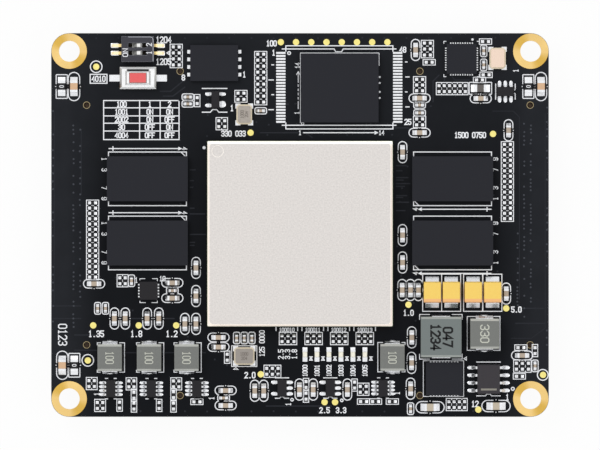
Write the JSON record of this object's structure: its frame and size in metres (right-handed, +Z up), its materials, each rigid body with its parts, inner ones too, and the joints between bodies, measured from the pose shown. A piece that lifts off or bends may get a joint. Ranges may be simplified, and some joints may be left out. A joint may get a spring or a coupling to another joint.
{
  "type": "system on module",
  "caption": "Rectangular processor module: a populated circuit board with a lidded processor, memory, power parts, switches, corner mounting holes and board-to-board connectors underneath.",
  "frame": {"origin": "under the centre of the board, on the plane that the connectors' undersides stand on", "axes": "+X along the board's length, +Y along its depth towards the push-button's edge, +Z up out of the component side"},
  "size_m": [0.083, 0.064, 0.0082],
  "materials": {
    "solder_mask": "satin black solder mask over glass-epoxy laminate",
    "gold_plating": "smooth immersion gold",
    "tin_solder": "bright reflowed tin",
    "substrate_laminate": "satin laminate",
    "nickel_lid": "fine blasted nickel plate on copper",
    "silicon": "polished",
    "chip_mould": "fine matt moulding compound",
    "cream_ceramic": "matt fired ceramic",
    "tan_ceramic": "matt fired ceramic",
    "resistor_coat": "glossy glass overcoat",
    "ferrite": "matt sintered ferrite",
    "iron_powder": "matt pressed powder with a thin varnish",
    "yellow_epoxy": "satin moulded epoxy",
    "led_resin": "cast clear resin over a pale base",
    "stainless_steel": "bright rolled sheet",
    "switch_plastic": "fine matt moulding",
    "white_plastic": "smooth moulding",
    "red_plastic": "satin moulding",
    "connector_plastic": "fine matt moulding"
  },
  "bodies": {
    "module": {"circuit_board": "solder_mask", "mounting_hole_plating": "gold_plating", "test_pads": "gold_plating", "flash_footprint_pads": "tin_solder", "processor_substrate": "substrate_laminate", "processor_lid": "nickel_lid", "processor_die": "silicon", "processor_balls": "tin_solder", "memory_chip_1": "chip_mould", "memory_chip_2": "chip_mould", "memory_chip_3": "chip_mould", "memory_chip_4": "chip_mould", "memory_balls": "tin_solder", "storage_chip": "chip_mould", "storage_balls": "tin_solder", "boot_flash": "chip_mould", "network_chip": "chip_mould", "termination_regulator": "chip_mould", "power_controller": "chip_mould", "flat_package_pins": "tin_solder", "reset_chip": "chip_mould", "logic_gate": "chip_mould", "buck_regulators": "chip_mould", "linear_regulators": "chip_mould", "small_chip_leads": "tin_solder", "power_transistor": "chip_mould", "power_transistor_leads": "tin_solder", "clock_bases": "cream_ceramic", "clock_lids": "stainless_steel", "buck_inductors": "iron_powder", "main_inductor": "iron_powder", "second_inductor": "iron_powder", "inductor_terminals": "tin_solder", "tantalum_capacitors": "yellow_epoxy", "tantalum_terminals": "tin_solder", "capacitors_0402": "tan_ceramic", "capacitors_0603": "tan_ceramic", "capacitors_0805": "tan_ceramic", "resistors_0402": "resistor_coat", "resistors_0805": "resistor_coat", "ferrite_bead": "ferrite", "chip_terminals": "tin_solder", "led_bases": "cream_ceramic", "led_lenses": "led_resin", "switch_housing": "switch_plastic", "switch_leads": "gold_plating", "button_base": "switch_plastic", "button_cover": "stainless_steel", "button_dome": "stainless_steel", "button_leads": "tin_solder", "connector_housing_1": "connector_plastic", "connector_housing_2": "connector_plastic", "connector_housing_3": "connector_plastic", "connector_housing_4": "connector_plastic", "connector_contacts": "gold_plating"},
    "plunger": {"button_plunger": "red_plastic"},
    "slider_1": {"switch_slider_1": "white_plastic", "switch_wiper_1": "gold_plating"},
    "slider_2": {"switch_slider_2": "white_plastic", "switch_wiper_2": "gold_plating"}
  },
  "joints": [
    {"name": "button_press", "type": "slide", "parent": "module", "child": "plunger", "axis": [0, 0, -1], "range_m": [0, 0.0002], "stiffness_N_per_m": 8000, "deforming": ["button_dome"]},
    {"name": "switch_1_slide", "type": "slide", "parent": "module", "child": "slider_1", "axis": [-1, 0, 0], "range_m": [0, 0.0008]},
    {"name": "switch_2_slide", "type": "slide", "parent": "module", "child": "slider_2", "axis": [-1, 0, 0], "range_m": [0, 0.0008]}
  ]
}
